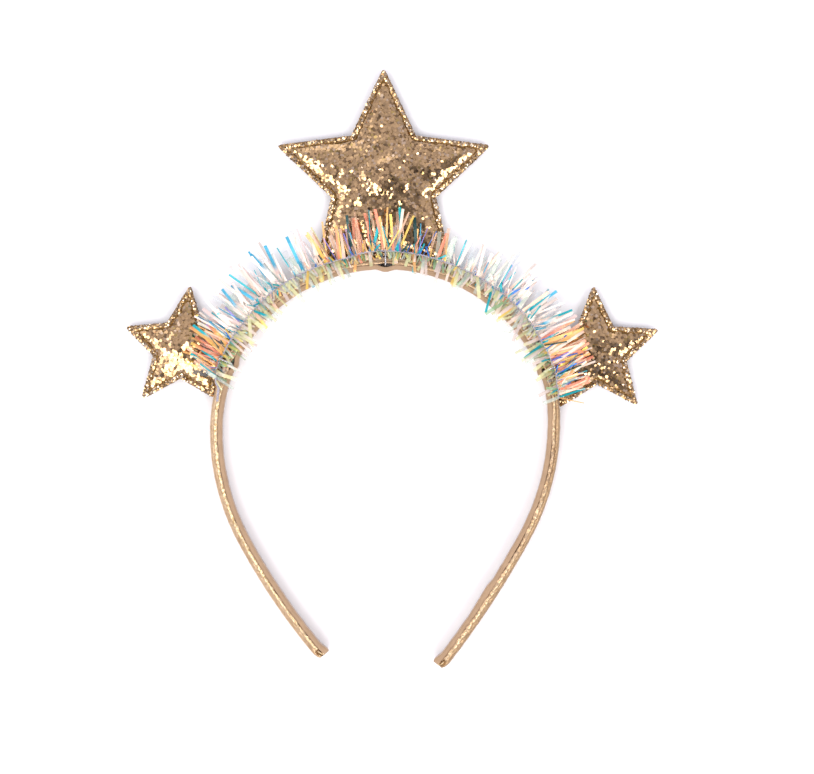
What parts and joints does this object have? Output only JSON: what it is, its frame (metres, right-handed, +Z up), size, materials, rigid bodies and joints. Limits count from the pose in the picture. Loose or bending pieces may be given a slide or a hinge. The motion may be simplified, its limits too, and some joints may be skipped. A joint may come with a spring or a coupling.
{
  "type": "star tinsel headband",
  "caption": "Costume headband: a gold leatherette hoop with padded glitter stars on its outer edge and an iridescent tinsel garland tied over the crown.",
  "frame": {"origin": "on the table, under the middle of the whole headband's box", "axes": "+Z up from the table, +Y from the tips towards the crown and the large star, +X to the right as pictured from above"},
  "size_m": [0.1966, 0.2212, 0.0175],
  "materials": {
    "gold_leatherette": "crinkled metallic gold coating",
    "tan_lining": "matte tan",
    "gold_glitter": "glitter flakes in a clear coat",
    "grey_thread": "twisted grey thread",
    "iridescent_film": "thin iridescent film",
    "silver_wire": "bright thin wire"
  },
  "bodies": {
    "root": {"band": "gold_leatherette", "lining": "tan_lining", "star_centre_front": "gold_glitter", "star_centre_back": "gold_glitter", "star_left_front": "gold_glitter", "star_left_back": "gold_glitter", "star_right_front": "gold_glitter", "star_right_back": "gold_glitter", "tinsel_core": "grey_thread", "tinsel_fringe": "iridescent_film", "tie_left": "silver_wire", "tie_centre": "silver_wire", "tie_right": "silver_wire"}
  },
  "joints": []
}
